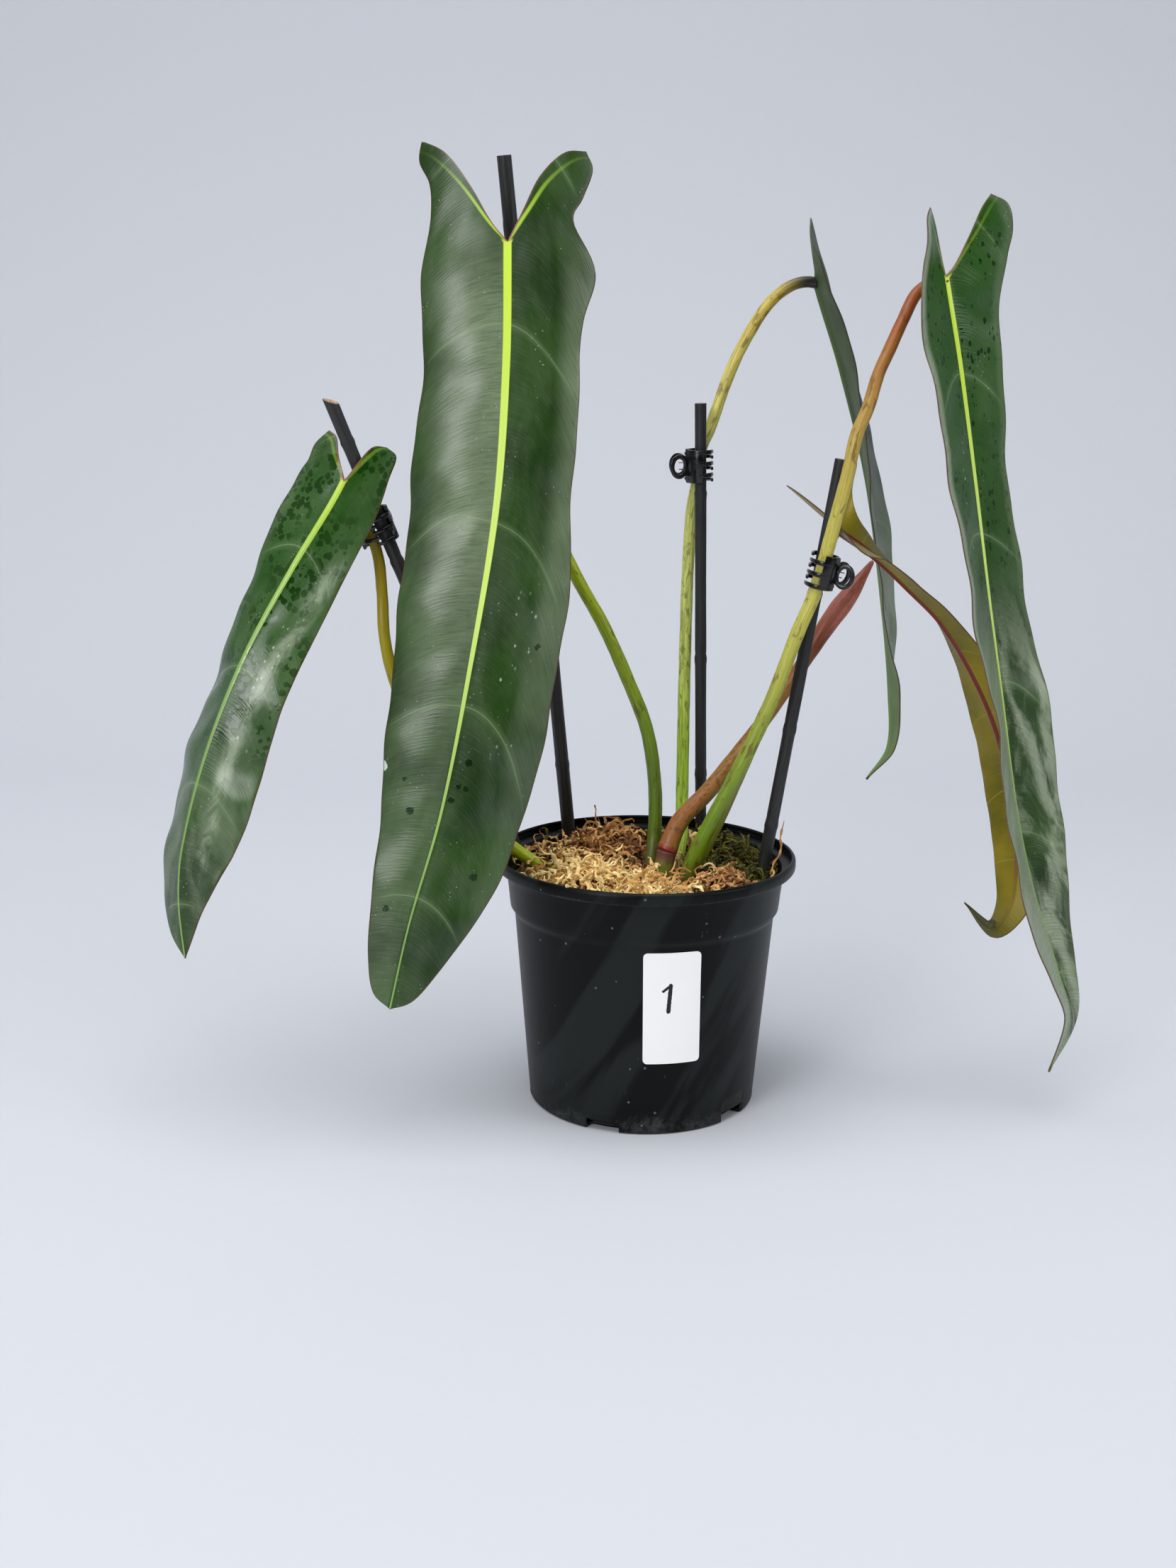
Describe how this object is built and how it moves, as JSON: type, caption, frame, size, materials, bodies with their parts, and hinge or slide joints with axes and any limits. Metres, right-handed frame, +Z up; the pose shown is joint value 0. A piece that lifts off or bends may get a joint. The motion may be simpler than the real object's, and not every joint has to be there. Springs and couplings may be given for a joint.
{
  "type": "potted philodendron spiritus-sancti",
  "caption": "Climbing aroid with long two-lobed leaves on slender stalks, clipped to black canes, in a round nursery pot filled with moss.",
  "frame": {"origin": "centre of the underside of the pot, on the surface it stands on", "axes": "+Z up, -Y towards the pot's front, where the label is, +X to the right as seen from the front"},
  "size_m": [0.3851, 0.1448, 0.3992],
  "materials": {
    "pot_plastic": "moulded black plastic with a low sheen",
    "label_paper": "matt white paper",
    "moss": "dry tangled fibres",
    "leaf_green": "glossy leaf with fine side veins",
    "leaf_young": "satin olive leaf",
    "stalk": "satin stalk with brown speckles",
    "shoot": "satin speckled sheath",
    "cane": "black-dyed bamboo with a faint sheen",
    "clip_plastic": "glossy black plastic",
    "clip_steel": "bright spring wire"
  },
  "bodies": {
    "potted_plant": {"nursery_pot": "pot_plastic", "number_label": "label_paper", "sphagnum_moss": "moss", "stem": "stalk", "new_shoot": "shoot", "petiole_front": "stalk", "petiole_left": "stalk", "petiole_back": "stalk", "petiole_right": "stalk", "petiole_young": "stalk", "leaf_front": "leaf_green", "leaf_left": "leaf_green", "leaf_back": "leaf_green", "leaf_right": "leaf_green", "leaf_young": "leaf_young", "stake_front": "cane", "stake_left": "cane", "stake_back": "cane", "stake_right": "cane", "clip_front_stake_jaw": "clip_plastic", "clip_front_pin": "clip_steel", "clip_front_spring": "clip_steel", "clip_left_stake_jaw": "clip_plastic", "clip_left_pin": "clip_steel", "clip_left_spring": "clip_steel", "clip_back_petiole_jaw": "clip_plastic", "clip_back_pin": "clip_steel", "clip_back_spring": "clip_steel", "clip_right_stake_jaw": "clip_plastic", "clip_right_pin": "clip_steel", "clip_right_spring": "clip_steel"},
    "front_jaw": {"clip_front_petiole_jaw": "clip_plastic"},
    "left_jaw": {"clip_left_petiole_jaw": "clip_plastic"},
    "back_jaw": {"clip_back_stake_jaw": "clip_plastic"},
    "right_jaw": {"clip_right_petiole_jaw": "clip_plastic"}
  },
  "joints": [
    {"name": "clip_front_hinge", "type": "hinge", "parent": "potted_plant", "child": "front_jaw", "pos_m": [-0.04687, 0.01358, 0.30023], "axis": [-0.0963, -0.0882, 0.9914], "range_deg": [0, 35], "stiffness_Nm_per_rad": 0.003, "springref_deg": -28.65, "deforming": ["clip_front_spring"]},
    {"name": "clip_left_hinge", "type": "hinge", "parent": "potted_plant", "child": "left_jaw", "pos_m": [-0.11259, -0.01331, 0.25074], "axis": [0.3478, 0.1632, -0.9232], "range_deg": [0, 35], "stiffness_Nm_per_rad": 0.003, "springref_deg": -28.65, "deforming": ["clip_left_spring"]},
    {"name": "clip_back_hinge", "type": "hinge", "parent": "potted_plant", "child": "back_jaw", "pos_m": [0.01672, 0.03289, 0.27297], "axis": [0.027, 0.0356, -0.999], "range_deg": [0, 35], "stiffness_Nm_per_rad": 0.003, "springref_deg": -28.65, "deforming": ["clip_back_spring"]},
    {"name": "clip_right_hinge", "type": "hinge", "parent": "potted_plant", "child": "right_jaw", "pos_m": [0.07447, -0.01465, 0.23284], "axis": [0.2112, -0.0276, 0.977], "range_deg": [0, 35], "stiffness_Nm_per_rad": 0.003, "springref_deg": -28.65, "deforming": ["clip_right_spring"]}
  ]
}
